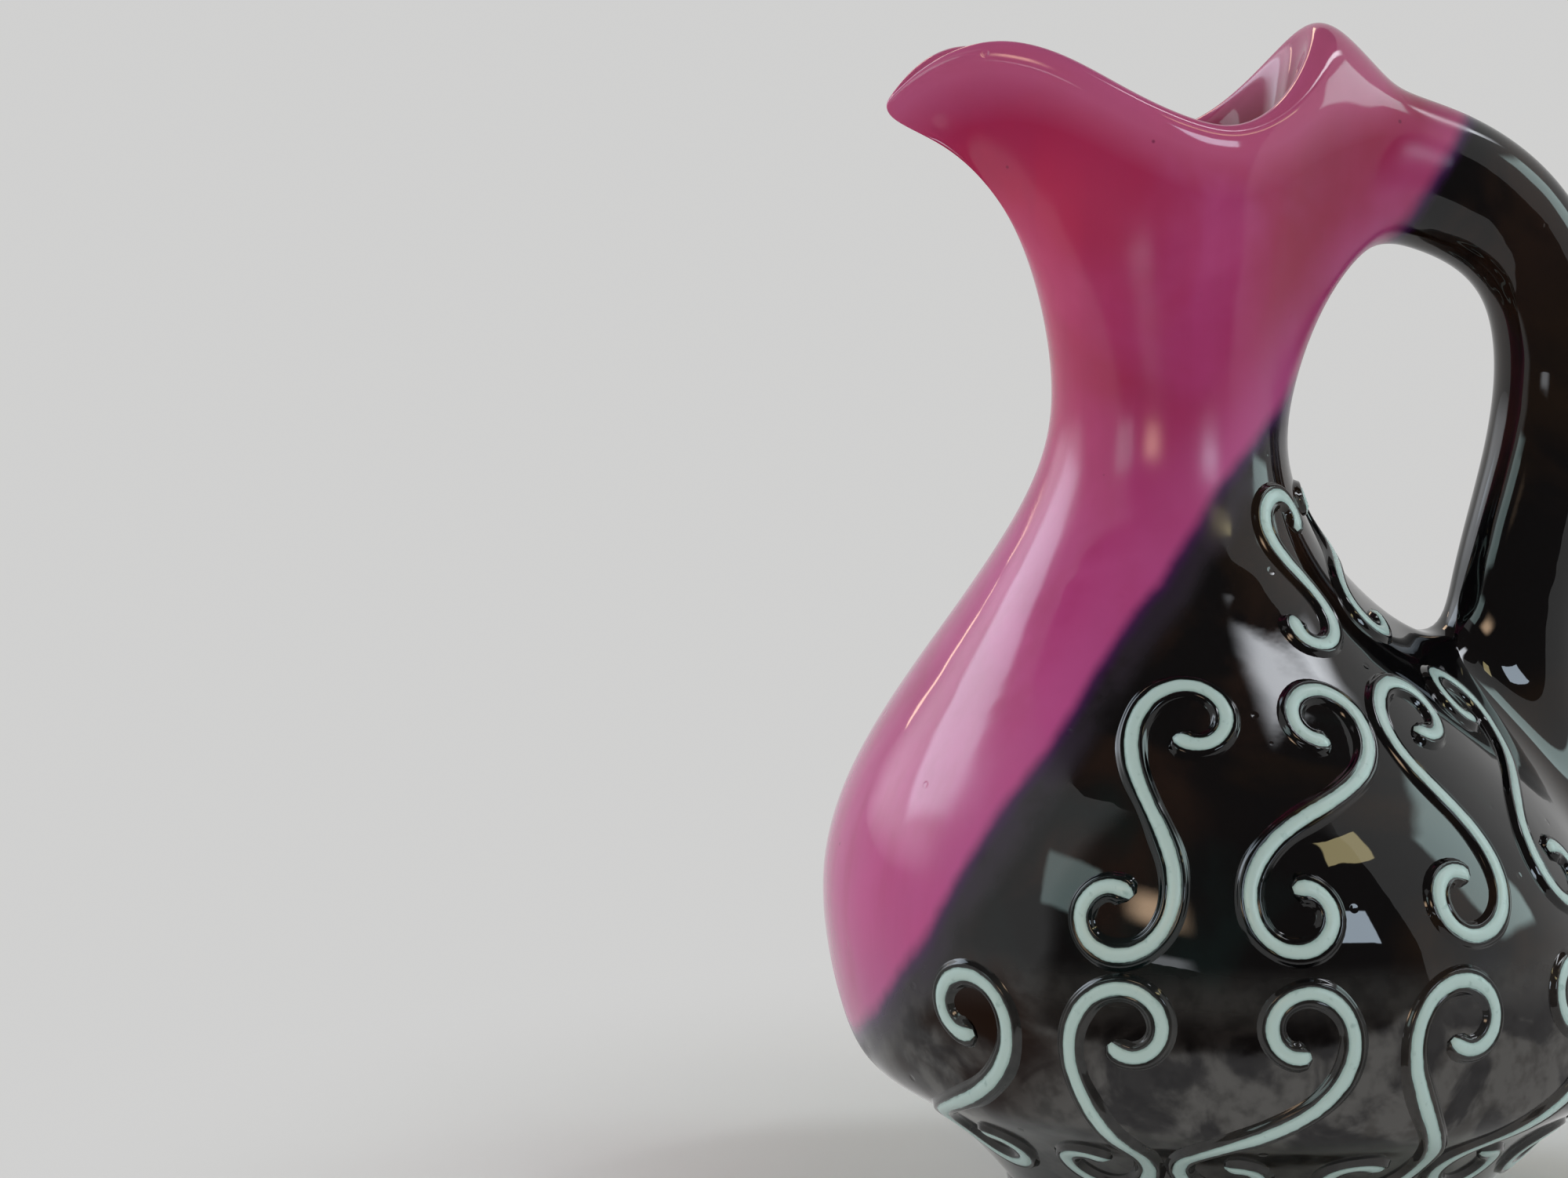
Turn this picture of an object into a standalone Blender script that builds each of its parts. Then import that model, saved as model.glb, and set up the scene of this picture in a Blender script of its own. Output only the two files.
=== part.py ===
"""Ceramic jug with a beaked spout, a saddle-shaped rim and a looped handle.

The jug is built the way a potter builds it: a belly, a neck and a mouth thrown as separate sections,
a handle luted on at two joints, a turned foot ring, and raised scrolls of slip trailed over the belly.
Units are metres, +Z is up, -X is the pouring side and +X the handle side.
"""

import math

import bmesh
import bpy
from mathutils import Vector
from mathutils.bvhtree import BVHTree

MM = 0.001

# Driving sizes of the body, all measured from the centre of the foot
FOOT_RADIUS = 47.4 * MM
FOOT_HEIGHT = 9.0 * MM
FOOT_RING_WIDTH = 8.0 * MM
BELLY_RADIUS = 79.7 * MM
BELLY_HEIGHT = 58.3 * MM
NECK_RADIUS = 22.6 * MM
NECK_HEIGHT = 162.0 * MM
NECK_SET_FORWARD = 18.0 * MM
SHOULDER_SWAY = 1.9 * MM
LEAN_END = 139.0 * MM
WALL = 5.0 * MM
LIP = 7.0 * MM
TIP_LIP = 10.0 * MM
PEAK_LIP = 10.0 * MM
RIM_ROUNDING = 0.55
RIM_CROWN = 0.75
CREST_INSETS = (0.2, 0.8)

# The profile's fullness: how far the curve keeps its end direction
UNDERSIDE_RUN = 26.8 * MM
UNDERSIDE_RISE = 36.1 * MM
LOWER_FULLNESS = 40.4 * MM
SHOULDER_FULLNESS = 39.2 * MM
NECK_FULLNESS = 34.7 * MM

# Driving sizes of the mouth, measured from the neck's axis
SPOUT_REACH = 60.0 * MM
PEAK_REACH = 36.0 * MM
MOUTH_HALF_WIDTH = 24.0 * MM
PEAK_HEIGHT = 238.0 * MM
SADDLE_HEIGHT = 215.8 * MM
HUMP_HEIGHT = 233.5 * MM
TIP_HEIGHT = 222.2 * MM
SADDLE_ANGLE = math.radians(86.4)
HUMP_ANGLE = math.radians(132.8)
BACK_PINCH = 0.9
SPOUT_PINCH = 2.3
MOUTH_RISE = 75.0 * MM

# How each part of the rim leaves the neck: outwards and upwards
PEAK_FLARE = (10.0 * MM, 60.0 * MM)
SADDLE_FLARE = (9.0 * MM, 50.0 * MM)
HUMP_FLARE = (40.0 * MM, 43.0 * MM)
TIP_FLARE = (77.0 * MM, 4.3 * MM)

# Driving sizes of the handle: its centre line starts at the mouth's back and ends on the belly's back
HANDLE_ROOT_REACH = 27.0 * MM
HANDLE_ROOT_HEIGHT = 211.0 * MM
HANDLE_REACH = 65.5 * MM
HANDLE_REACH_HEIGHT = 172.0 * MM
HANDLE_FOOT_REACH = 56.0 * MM
HANDLE_FOOT_HEIGHT = 112.0 * MM
HANDLE_TOP_RUN = 22.0 * MM
HANDLE_TOP_DROP = 3.5 * MM
HANDLE_BEND_RISE = 24.0 * MM
HANDLE_BEND_FALL = 22.0 * MM
HANDLE_FOOT_LEAN = 3.0 * MM
HANDLE_FOOT_FALL = 24.0 * MM
HANDLE_TOP_THICKNESS = 30.0 * MM
HANDLE_THICKNESS = 25.5 * MM
HANDLE_FOOT_THICKNESS = 30.0 * MM
HANDLE_WIDTH = 23.0 * MM
UPPER_WEB = 10.0 * MM
LOWER_WEB = 5.0 * MM

# Joints between the thrown sections and the luted handle
JOINT_GAP = 0.3 * MM
NECK_JOINT_RISE = 3.0 * MM
NECK_LENGTH = 33.5 * MM
JOINT_CLEARANCE = 5.0 * MM

# Foot ring
FOOT_FLARE = 1.2 * MM
FOOT_WAIST_HEIGHT = 5.3 * MM
FOOT_ROUNDING = 1.6 * MM
ROUND_CORNER = 1 - math.sqrt(0.5)
FOOT_SEGMENTS = 48

# Raised slip trails
TRAIL_WIDTH = 3.4 * MM
TRAIL_CREST = 1.8 * MM
TRAIL_HEIGHT = 1.3 * MM
TRAIL_STEP = 4.0 * MM
TRAIL_SUBSTEPS = 5
TRAIL_TAPER = 5.0 * MM
TRAIL_CLEARANCE = 0.5 * MM
TRAIL_END_SIZE = 0.6

# Three rows of scrolls on both sides. First is the first one's angle forward from the handle, step the angle
# between neighbours, counts how many each side takes before the pink glaze, arm the length of half a scroll
# and curl the radius at its end.
SCROLL_LEAN = math.radians(72)
LOW_ROW_HEIGHT = 36.5 * MM
LOW_ROW_FIRST = math.radians(15.5)
LOW_ROW_STEP = math.radians(23)
LOW_ROW_COUNTS = (7, 6)
LOW_ROW_ARM = 58.0 * MM
LOW_ROW_CURL = 4.8 * MM
HIGH_ROW_HEIGHT = 93.0 * MM
HIGH_ROW_FIRST = math.radians(38)
HIGH_ROW_STEP = math.radians(26)
HIGH_ROW_COUNTS = (4, 3)
HIGH_ROW_ARM = 56.0 * MM
HIGH_ROW_CURL = 4.7 * MM
NECK_ROW_HEIGHT = 133.0 * MM
NECK_ROW_FIRST = math.radians(29)
NECK_ROW_STEP = math.radians(33)
NECK_ROW_COUNTS = (2, 1)
NECK_ROW_ARM = 30.0 * MM
NECK_ROW_CURL = 3.4 * MM

# The form's cage
COLUMNS = 24
LOWER_RINGS = 5
UPPER_RINGS = 8
MOUTH_RINGS = 5
HANDLE_RINGS = 5
HANDLE_SIDES = 16
FLOOR_THICKNESS = 6.0 * MM
FLOOR_FLAT = 0.6

# The handle's roots in the cage: rows that the hole spans, and columns each side of its middle
UPPER_ROOT_ROW = LOWER_RINGS + UPPER_RINGS + 2
UPPER_ROOT_ROWS = 4
UPPER_ROOT_COLUMNS = 2
LOWER_ROOT_ROW = LOWER_RINGS
LOWER_ROOT_ROWS = 6
LOWER_ROOT_COLUMNS = 1


def clear_scene():
    for obj in list(bpy.data.objects):
        bpy.data.objects.remove(obj, do_unlink=True)


def bezier(a, b, c, d, t):
    """A point on a cubic Bezier curve."""
    s = 1 - t
    return a * s**3 + b * (3 * s * s * t) + c * (3 * s * t * t) + d * t**3


def smooth_step(t):
    t = min(1.0, max(0.0, t))
    return t * t * (3 - 2 * t)


def between_keys(angle, keys):
    """A value that passes through (angle, value) keys, level at each of them."""
    for (a0, v0), (a1, v1) in zip(keys, keys[1:]):
        if angle <= a1:
            return v0 + (v1 - v0) * (0.5 - 0.5 * math.cos(math.pi * (angle - a0) / (a1 - a0)))
    return keys[-1][1]


def axis_offset(z):
    """The body's axis leans forward from the foot to the shoulder, and a little back again to the neck's waist."""
    forward = (NECK_SET_FORWARD + SHOULDER_SWAY) * smooth_step((z - FOOT_HEIGHT) / (LEAN_END - FOOT_HEIGHT))
    return SHOULDER_SWAY * smooth_step((z - LEAN_END) / (NECK_HEIGHT - LEAN_END)) - forward


def body_profile():
    """(radius, height) of the outer wall from the foot to the neck's waist."""
    foot = Vector((FOOT_RADIUS, FOOT_HEIGHT))
    belly = Vector((BELLY_RADIUS, BELLY_HEIGHT))
    waist = Vector((NECK_RADIUS, NECK_HEIGHT))
    leave_foot = foot + Vector((UNDERSIDE_RUN, UNDERSIDE_RISE))
    reach_belly = belly - Vector((0, LOWER_FULLNESS))
    leave_belly = belly + Vector((0, SHOULDER_FULLNESS))
    reach_waist = waist - Vector((0, NECK_FULLNESS))
    points = [bezier(foot, leave_foot, reach_belly, belly, i / LOWER_RINGS) for i in range(LOWER_RINGS)]
    for i in range(UPPER_RINGS + 1):
        points.append(bezier(belly, leave_belly, reach_waist, waist, i / UPPER_RINGS))
    return points


def inset_profile(points, depth):
    """The profile moved inwards by a wall's thickness, square to itself."""
    moved = []
    for i, point in enumerate(points):
        along = points[min(i + 1, len(points) - 1)] - points[max(i - 1, 0)]
        along.normalize()
        moved.append(point + Vector((-along.y, along.x)) * depth)
    return moved


def column_angle(column):
    return 2 * math.pi * column / COLUMNS


def round_section(radius, z):
    return [
        Vector((axis_offset(z) + radius * math.cos(column_angle(k)), radius * math.sin(column_angle(k)), z))
        for k in range(COLUMNS)
    ]


def rim_keys(values):
    return list(zip((0.0, SADDLE_ANGLE, HUMP_ANGLE, math.pi), values))


def mouth_wall(angle, t, depth):
    """A point of the mouth from the neck's waist (t 0) to the rim (t 1), on its outer (depth 0)
    or inner (depth 1) face."""
    side = abs((angle + math.pi) % (2 * math.pi) - math.pi)
    turn = math.copysign(1, math.sin(angle))
    outward = Vector((math.cos(angle), math.sin(angle), 0))
    radius = NECK_RADIUS - WALL * depth
    start = Vector((outward.x * radius, outward.y * radius, NECK_HEIGHT))
    half_width = MOUTH_HALF_WIDTH - LIP * depth
    if side < math.pi / 2:
        reach = PEAK_REACH - PEAK_LIP * depth
        pinch = BACK_PINCH
    else:
        reach = SPOUT_REACH - TIP_LIP * depth
        pinch = SPOUT_PINCH
    heights = rim_keys((PEAK_HEIGHT, SADDLE_HEIGHT, HUMP_HEIGHT, TIP_HEIGHT))
    rise = between_keys(side, heights) - LIP * RIM_ROUNDING
    end = Vector((reach * math.cos(side), turn * half_width * math.sin(side) ** pinch, rise))
    flares = (PEAK_FLARE, SADDLE_FLARE, HUMP_FLARE, TIP_FLARE)
    out = between_keys(side, rim_keys([f[0] for f in flares]))
    up = between_keys(side, rim_keys([f[1] for f in flares]))
    arrive = outward * out + Vector((0, 0, up))
    point = bezier(start, start + Vector((0, 0, MOUTH_RISE / 3)), end - arrive / 3, end, t)
    return point + Vector((-NECK_SET_FORWARD, 0, 0))


def mouth_section(t, depth):
    return [mouth_wall(column_angle(k), t, depth) for k in range(COLUMNS)]


def rim_crest(depth):
    """A ring over the rim's wall, which the surface rounds into a lip."""
    ring = []
    for k in range(COLUMNS):
        outer = mouth_wall(column_angle(k), 1.0, 0)
        inner = mouth_wall(column_angle(k), 1.0, 1)
        ring.append(outer.lerp(inner, depth) + Vector((0, 0, LIP * RIM_CROWN)))
    return ring


def handle_sections():
    """The handle's rings: each a centre, the direction of its outer side, and its half sizes."""
    root = Vector((HANDLE_ROOT_REACH, 0, HANDLE_ROOT_HEIGHT))
    bend = Vector((HANDLE_REACH, 0, HANDLE_REACH_HEIGHT))
    foot = Vector((HANDLE_FOOT_REACH, 0, HANDLE_FOOT_HEIGHT))
    leave_root = root + Vector((HANDLE_TOP_RUN, 0, -HANDLE_TOP_DROP))
    reach_bend = bend + Vector((0, 0, HANDLE_BEND_RISE))
    leave_bend = bend - Vector((0, 0, HANDLE_BEND_FALL))
    reach_foot = foot + Vector((HANDLE_FOOT_LEAN, 0, HANDLE_FOOT_FALL))
    centres = [bezier(root, leave_root, reach_bend, bend, i / HANDLE_RINGS) for i in range(HANDLE_RINGS)]
    for i in range(HANDLE_RINGS + 1):
        centres.append(bezier(bend, leave_bend, reach_foot, foot, i / HANDLE_RINGS))
    sections = []
    last = len(centres) - 1
    for i, centre in enumerate(centres):
        along = (centres[min(i + 1, last)] - centres[max(i - 1, 0)]).normalized()
        outer = Vector((-along.z, 0, along.x))
        thicknesses = (HANDLE_TOP_THICKNESS, HANDLE_THICKNESS, HANDLE_FOOT_THICKNESS)
        thickness = between_keys(i, list(zip((0, HANDLE_RINGS, last), thicknesses)))
        sections.append((centre, outer, thickness / 2, HANDLE_WIDTH / 2))
    return sections


def join_rings(bm, lower, upper):
    count = len(lower)
    for i in range(count):
        j = (i + 1) % count
        bm.faces.new((lower[i], lower[j], upper[j], upper[i]))


def root_loop(rows, row, half_columns, height):
    """The edge of a root's hole in the wall, from its upper side round by +Y to its lower side and back."""
    top = row + height
    side = [(top, k) for k in range(half_columns + 1)]
    side += [(r, half_columns) for r in range(top - 1, row, -1)]
    side += [(row, k) for k in range(half_columns, -1, -1)]
    mirrored = [(r, -k) for r, k in side[-2:0:-1]]
    return [rows[r][k % COLUMNS] for r, k in side + mirrored]


def inside_root(r, k, row, half_columns, height):
    return row <= r < row + height and -half_columns <= k < half_columns


def form_cage():
    """The whole jug as one closed cage: outer wall, rim, inner wall and handle."""
    bm = bmesh.new()
    outline = body_profile()
    stub = Vector((FOOT_RADIUS, -FOOT_HEIGHT))
    outer = [round_section(p.x, p.y) for p in [stub] + outline]
    outer += [mouth_section(i / MOUTH_RINGS, 0) for i in range(1, MOUTH_RINGS + 1)]
    crests = [rim_crest(depth) for depth in CREST_INSETS]
    inner = [mouth_section(i / MOUTH_RINGS, 1) for i in range(MOUTH_RINGS, 0, -1)]
    floor_z = FOOT_HEIGHT + FLOOR_THICKNESS
    hollow = [p for p in inset_profile(outline, WALL)[::-2] if p.y > floor_z + WALL][::-1]
    hollow = [Vector((FOOT_RADIUS * FLOOR_FLAT, floor_z)), Vector((FOOT_RADIUS, floor_z))] + hollow
    inner += [round_section(p.x, p.y) for p in reversed(hollow)]
    rows = [[bm.verts.new(p) for p in ring] for ring in outer + crests + inner]
    outer_rows = len(outer)
    upper_root = (UPPER_ROOT_ROW, UPPER_ROOT_COLUMNS, UPPER_ROOT_ROWS)
    lower_root = (LOWER_ROOT_ROW, LOWER_ROOT_COLUMNS, LOWER_ROOT_ROWS)
    for r in range(len(rows) - 1):
        for k in range(-COLUMNS // 2, COLUMNS // 2):
            if r < outer_rows and any(inside_root(r, k, *root) for root in (upper_root, lower_root)):
                continue
            here, there = rows[r], rows[r + 1]
            bm.faces.new((here[k], here[(k + 1) % COLUMNS], there[(k + 1) % COLUMNS], there[k]))
    bm.faces.new(reversed(rows[0]))
    bm.faces.new(rows[-1])
    rings = []
    for centre, outward, half_thickness, half_width in handle_sections():
        ring = []
        for j in range(HANDLE_SIDES):
            turn = 2 * math.pi * j / HANDLE_SIDES
            offset = outward * (half_thickness * math.cos(turn))
            ring.append(bm.verts.new(centre + offset + Vector((0, half_width * math.sin(turn), 0))))
        rings.append(ring)
    upper_loop = root_loop(rows, *upper_root)
    lower_loop = root_loop(rows, *lower_root)
    lower_loop = [lower_loop[(HANDLE_SIDES // 2 - j) % HANDLE_SIDES] for j in range(HANDLE_SIDES)]
    for loop, ring, web in ((upper_loop, rings[0], UPPER_WEB), (lower_loop, rings[-1], LOWER_WEB)):
        for vert, target in zip(loop, ring):
            vert.co += (target.co - vert.co).normalized() * web
    chain = [upper_loop] + rings + [lower_loop]
    for a, b in zip(chain, chain[1:]):
        join_rings(bm, a, b)
    loose = [v for v in bm.verts if not v.link_faces]
    bmesh.ops.delete(bm, geom=loose, context="VERTS")
    bmesh.ops.recalc_face_normals(bm, faces=bm.faces)
    mesh = bpy.data.meshes.new("jug_form")
    bm.to_mesh(mesh)
    bm.free()
    mesh.shade_smooth()
    return mesh


def new_material(name, colour, roughness):
    material = bpy.data.materials.new(name)
    material.use_nodes = True
    shader = material.node_tree.nodes["Principled BSDF"]
    shader.inputs["Base Color"].default_value = (*colour, 1)
    shader.inputs["Roughness"].default_value = roughness
    return material


def add_object(name, mesh, parent, material=None):
    obj = bpy.data.objects.new(name, mesh)
    bpy.context.collection.objects.link(obj)
    obj.parent = parent
    if material:
        mesh.materials.append(material)
    return obj


def add_subdivision(obj, levels):
    modifier = obj.modifiers.new("smooth_form", "SUBSURF")
    modifier.levels = levels
    modifier.render_levels = levels


def joint_lines():
    """The handle's two joints in the XZ plane: (outer end, inner end) above, (inner end, outer end) below."""
    sections = handle_sections()
    centre, outward, half_thickness, _ = sections[1]
    upper_outer = centre + outward * (half_thickness + 2 * JOINT_CLEARANCE)
    upper_inner = centre - outward * (half_thickness + JOINT_CLEARANCE)
    centre, outward, half_thickness, _ = sections[-2]
    lower_inner = centre - outward * (half_thickness + JOINT_CLEARANCE)
    back = body_profile()[LOWER_ROOT_ROW + 1]
    lower_outer = Vector((axis_offset(back.y) + back.x + JOINT_CLEARANCE, 0, back.y))
    return (upper_outer, upper_inner), (lower_inner, lower_outer)


def region(name, outline, parent):
    """A helper prism right across the jug, whose outline is given in the XZ plane."""
    bm = bmesh.new()
    half = 2 * BELLY_RADIUS
    near = [bm.verts.new((x, -half, z)) for x, z in outline]
    face = bm.faces.new(near)
    moved = bmesh.ops.extrude_face_region(bm, geom=[face])
    far_side = [v for v in moved["geom"] if isinstance(v, bmesh.types.BMVert)]
    bmesh.ops.translate(bm, vec=(0, 2 * half, 0), verts=far_side)
    bmesh.ops.recalc_face_normals(bm, faces=bm.faces)
    mesh = bpy.data.meshes.new(name)
    bm.to_mesh(mesh)
    bm.free()
    obj = add_object(name, mesh, parent)
    obj.hide_render = True
    obj.display_type = "WIRE"
    return obj


def section_outlines():
    """An XZ outline for each of the belly, neck, mouth and handle, with a joint's gap between them."""
    (upper_outer, upper_inner), (lower_inner, lower_outer) = joint_lines()
    far = 4 * BELLY_RADIUS
    half = JOINT_GAP / 2
    across = (upper_inner - upper_outer).normalized()
    upper_shift = Vector((-across.z, 0, across.x)) * half
    across = (lower_outer - lower_inner).normalized()
    lower_shift = Vector((-across.z, 0, across.x)) * half
    waist = NECK_HEIGHT + NECK_JOINT_RISE
    shoulder = waist - NECK_LENGTH
    neck_back = lower_inner.x - JOINT_CLEARANCE

    def flat(point):
        return (point.x, point.z)

    handle = [upper_outer + upper_shift, upper_inner + upper_shift, lower_inner + lower_shift]
    handle = [flat(p) for p in handle + [lower_outer + lower_shift]]
    handle += [(far, lower_outer.z + half), (far, upper_outer.z)]
    mouth = [(-far, waist + half), (upper_inner.x, waist + half)]
    mouth += [flat(upper_inner - upper_shift), flat(upper_outer - upper_shift)]
    mouth += [(upper_outer.x, far), (-far, far)]
    neck = [(-far, shoulder + half), (neck_back, shoulder + half)]
    neck += [(neck_back, waist - half), (-far, waist - half)]
    belly = [(-far, FOOT_HEIGHT + half), (far, FOOT_HEIGHT + half), (far, lower_outer.z - half)]
    belly += [flat(lower_outer - lower_shift), flat(lower_inner - lower_shift)]
    belly += [(lower_inner.x, shoulder - half), (-far, shoulder - half)]
    return {"belly": belly, "neck": neck, "mouth_and_spout": mouth, "handle": handle}


def add_section(name, outline, cage, parent, material):
    obj = add_object(name, cage.copy(), parent, material)
    add_subdivision(obj, 1)
    cut = obj.modifiers.new("joint_faces", "BOOLEAN")
    cut.operation = "INTERSECT"
    cut.solver = "EXACT"
    cut.object = region(name + "_region", outline, parent)
    return obj


def add_foot_ring(parent, material):
    """A turned ring under the belly, flat where it stands, with a recess inside it."""
    top = FOOT_HEIGHT - JOINT_GAP / 2
    outer = FOOT_RADIUS + FOOT_FLARE
    inner = FOOT_RADIUS - FOOT_RING_WIDTH
    corner = FOOT_ROUNDING * ROUND_CORNER
    profile = [
        (FOOT_RADIUS, top),
        (FOOT_RADIUS, FOOT_WAIST_HEIGHT),
        (outer, FOOT_ROUNDING),
        (outer - corner, corner),
        (outer - FOOT_ROUNDING, 0),
        (inner + FOOT_ROUNDING, 0),
        (inner + corner, corner),
        (inner, FOOT_ROUNDING),
        (inner, top),
    ]
    bm = bmesh.new()
    verts = [bm.verts.new((r, 0, z)) for r, z in profile]
    edges = [bm.edges.new((verts[i], verts[(i + 1) % len(verts)])) for i in range(len(verts))]
    around = {"cent": (0, 0, 0), "axis": (0, 0, 1), "angle": 2 * math.pi}
    bmesh.ops.spin(bm, geom=verts + edges, steps=FOOT_SEGMENTS, use_merge=True, **around)
    bmesh.ops.remove_doubles(bm, verts=bm.verts, dist=JOINT_GAP / 10)
    bmesh.ops.recalc_face_normals(bm, faces=bm.faces)
    mesh = bpy.data.meshes.new("foot_ring")
    bm.to_mesh(mesh)
    bm.free()
    mesh.shade_smooth()
    mesh.set_sharp_from_angle(angle=math.radians(40))
    return add_object("foot_ring", mesh, parent, material)


def surface_tree(cage, levels):
    """A search tree over the subdivided form, before the parent moves it."""
    obj = bpy.data.objects.new("form_probe", cage)
    bpy.context.collection.objects.link(obj)
    add_subdivision(obj, levels)
    tree = BVHTree.FromObject(obj, bpy.context.evaluated_depsgraph_get())
    bpy.data.objects.remove(obj, do_unlink=True)
    return tree


def walk(tree, start, normal, heading, length, curl):
    """Points every step along the surface, on a path that curls ever tighter towards its end."""
    steps = max(2, round(length / TRAIL_STEP)) * TRAIL_SUBSTEPS
    step = length / steps
    points = []
    point = start
    for i in range(steps):
        turn = curl * (i + 0.5) / steps * step
        heading = (heading - normal * heading.dot(normal)).normalized()
        heading = heading * math.cos(turn) + normal.cross(heading) * math.sin(turn)
        point, normal, _, _ = tree.find_nearest(point + heading * step)
        points.append((point, normal))
    return points[TRAIL_SUBSTEPS - 1 :: TRAIL_SUBSTEPS]


def scroll_path(tree, scroll):
    """A scroll drawn from its middle: two arms that leave in opposite directions."""
    angle, height, heading, length, curl = scroll
    outward = Vector((math.cos(angle), math.sin(angle), 0))
    centre = Vector((axis_offset(height), 0, height))
    start, normal, _, _ = tree.ray_cast(centre + outward * 3 * BELLY_RADIUS, -outward)
    level = Vector((0, 0, 1)).cross(normal).normalized()
    rise = normal.cross(level)
    direction = level * math.cos(heading) + rise * math.sin(heading)
    ahead = walk(tree, start, normal, direction, length, curl)
    behind = walk(tree, start, normal, -direction, length, curl)
    return behind[::-1] + [(start, normal)] + ahead


def add_trail(name, path, seat, parent, material):
    """A bead of slip with a flat back along a path, seated on the wall's facets."""
    bm = bmesh.new()
    last = len(path) - 1
    rings = []
    for i, (point, normal) in enumerate(path):
        along = path[min(i + 1, last)][0] - path[max(i - 1, 0)][0]
        side = normal.cross(along).normalized()
        from_end = min(i, last - i) * TRAIL_STEP / TRAIL_TAPER
        size = TRAIL_END_SIZE + (1 - TRAIL_END_SIZE) * smooth_step(from_end)
        ring = []
        corners = ((-1, TRAIL_WIDTH, 0), (1, TRAIL_WIDTH, 0), (1, TRAIL_CREST, 1), (-1, TRAIL_CREST, 1))
        for sign, width, lift in corners:
            base = seat.find_nearest(point + side * (sign * width * size / 2))[0]
            ring.append(bm.verts.new(base + normal * (TRAIL_CLEARANCE + lift * TRAIL_HEIGHT * size)))
        rings.append(ring)
    for a, b in zip(rings, rings[1:]):
        join_rings(bm, a, b)
    bm.faces.new(rings[0])
    bm.faces.new(rings[-1])
    bmesh.ops.recalc_face_normals(bm, faces=bm.faces)
    mesh = bpy.data.meshes.new(name)
    bm.to_mesh(mesh)
    bm.free()
    mesh.shade_smooth()
    return add_object(name, mesh, parent, material)


def scroll_layout():
    """Every scroll's middle, heading, arm length and curl. Neighbours curl opposite ways, and the far side
    mirrors the near one but ends sooner."""
    rows = (
        (LOW_ROW_HEIGHT, LOW_ROW_FIRST, LOW_ROW_STEP, LOW_ROW_COUNTS, LOW_ROW_ARM, LOW_ROW_CURL),
        (HIGH_ROW_HEIGHT, HIGH_ROW_FIRST, HIGH_ROW_STEP, HIGH_ROW_COUNTS, HIGH_ROW_ARM, HIGH_ROW_CURL),
        (NECK_ROW_HEIGHT, NECK_ROW_FIRST, NECK_ROW_STEP, NECK_ROW_COUNTS, NECK_ROW_ARM, NECK_ROW_CURL),
    )
    scrolls = []
    for height, first, step, counts, arm, radius in rows:
        for side, count in zip((-1, 1), counts):
            lean = math.pi / 2 + side * (math.pi / 2 - SCROLL_LEAN)
            for i in range(count):
                turn = 1 if i % 2 else -1
                angle = (first + step * i) * side
                heading = lean - side * turn * math.pi / 4
                scrolls.append((angle, height, heading, arm, side * turn / radius))
    return scrolls


def main():
    clear_scene()
    pink = new_material("pink_glaze", (0.42, 0.05, 0.14), 0.12)
    dark = new_material("black_lustre_glaze", (0.008, 0.008, 0.01), 0.1)
    bare = new_material("foot_clay", (0.05, 0.045, 0.045), 0.5)
    mint = new_material("mint_slip", (0.5, 0.68, 0.62), 0.25)
    body = bpy.data.objects.new("jug", None)
    bpy.context.collection.objects.link(body)
    front = BELLY_RADIUS - axis_offset(BELLY_HEIGHT)
    back = HANDLE_REACH + HANDLE_THICKNESS / 2
    body.location.x = (front - back) / 2
    cage = form_cage()
    materials = {"belly": dark, "neck": pink, "mouth_and_spout": pink, "handle": dark}
    for name, outline in section_outlines().items():
        add_section(name, outline, cage, body, materials[name])
    add_foot_ring(body, bare)
    smooth_wall = surface_tree(cage, 3)
    faceted_wall = surface_tree(cage, 1)
    for number, scroll in enumerate(scroll_layout(), 1):
        path = scroll_path(smooth_wall, scroll)
        add_trail(f"slip_trail_{number:02d}", path, faceted_wall, body, mint)


if __name__ == "__main__":
    main()
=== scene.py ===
import math

import bmesh
import bpy
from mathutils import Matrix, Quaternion, Vector, noise
from mathutils.bvhtree import BVHTree


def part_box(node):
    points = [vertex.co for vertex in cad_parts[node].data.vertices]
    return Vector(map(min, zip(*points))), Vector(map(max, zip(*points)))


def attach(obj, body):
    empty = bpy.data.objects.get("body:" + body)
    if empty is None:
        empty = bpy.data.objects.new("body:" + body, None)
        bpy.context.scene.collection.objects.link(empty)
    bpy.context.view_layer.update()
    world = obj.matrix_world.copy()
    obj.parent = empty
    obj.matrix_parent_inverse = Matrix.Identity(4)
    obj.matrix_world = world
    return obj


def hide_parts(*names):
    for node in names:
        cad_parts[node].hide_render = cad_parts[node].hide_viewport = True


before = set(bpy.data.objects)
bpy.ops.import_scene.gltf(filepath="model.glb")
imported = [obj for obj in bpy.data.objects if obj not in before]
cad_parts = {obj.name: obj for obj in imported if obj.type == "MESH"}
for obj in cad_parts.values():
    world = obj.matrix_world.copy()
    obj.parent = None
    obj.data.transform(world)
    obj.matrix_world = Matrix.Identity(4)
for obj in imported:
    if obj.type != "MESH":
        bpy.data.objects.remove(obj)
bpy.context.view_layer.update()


# Black lustre glaze. The jug is dipped in a black lead glaze that fires to a mirror with bronze, blue
# and green bloom in it, and low on the belly to a mottled grey film of metal. The wall, the flanks of
# the trailed lines and the foot all carry it, so it is a group that each of their materials uses.
MM = 0.001
LUSTRE_BLACK = (0.0025, 0.0025, 0.003, 1)
LUSTRE_BRONZE = (0.014, 0.0075, 0.004, 1)
LUSTRE_BLUE = (0.006, 0.009, 0.018, 1)
LUSTRE_GREEN = (0.004, 0.009, 0.009, 1)
HAZE_GREY = (0.034, 0.033, 0.032, 1)
FILM_GREY = (0.125, 0.121, 0.116, 1)
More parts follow.
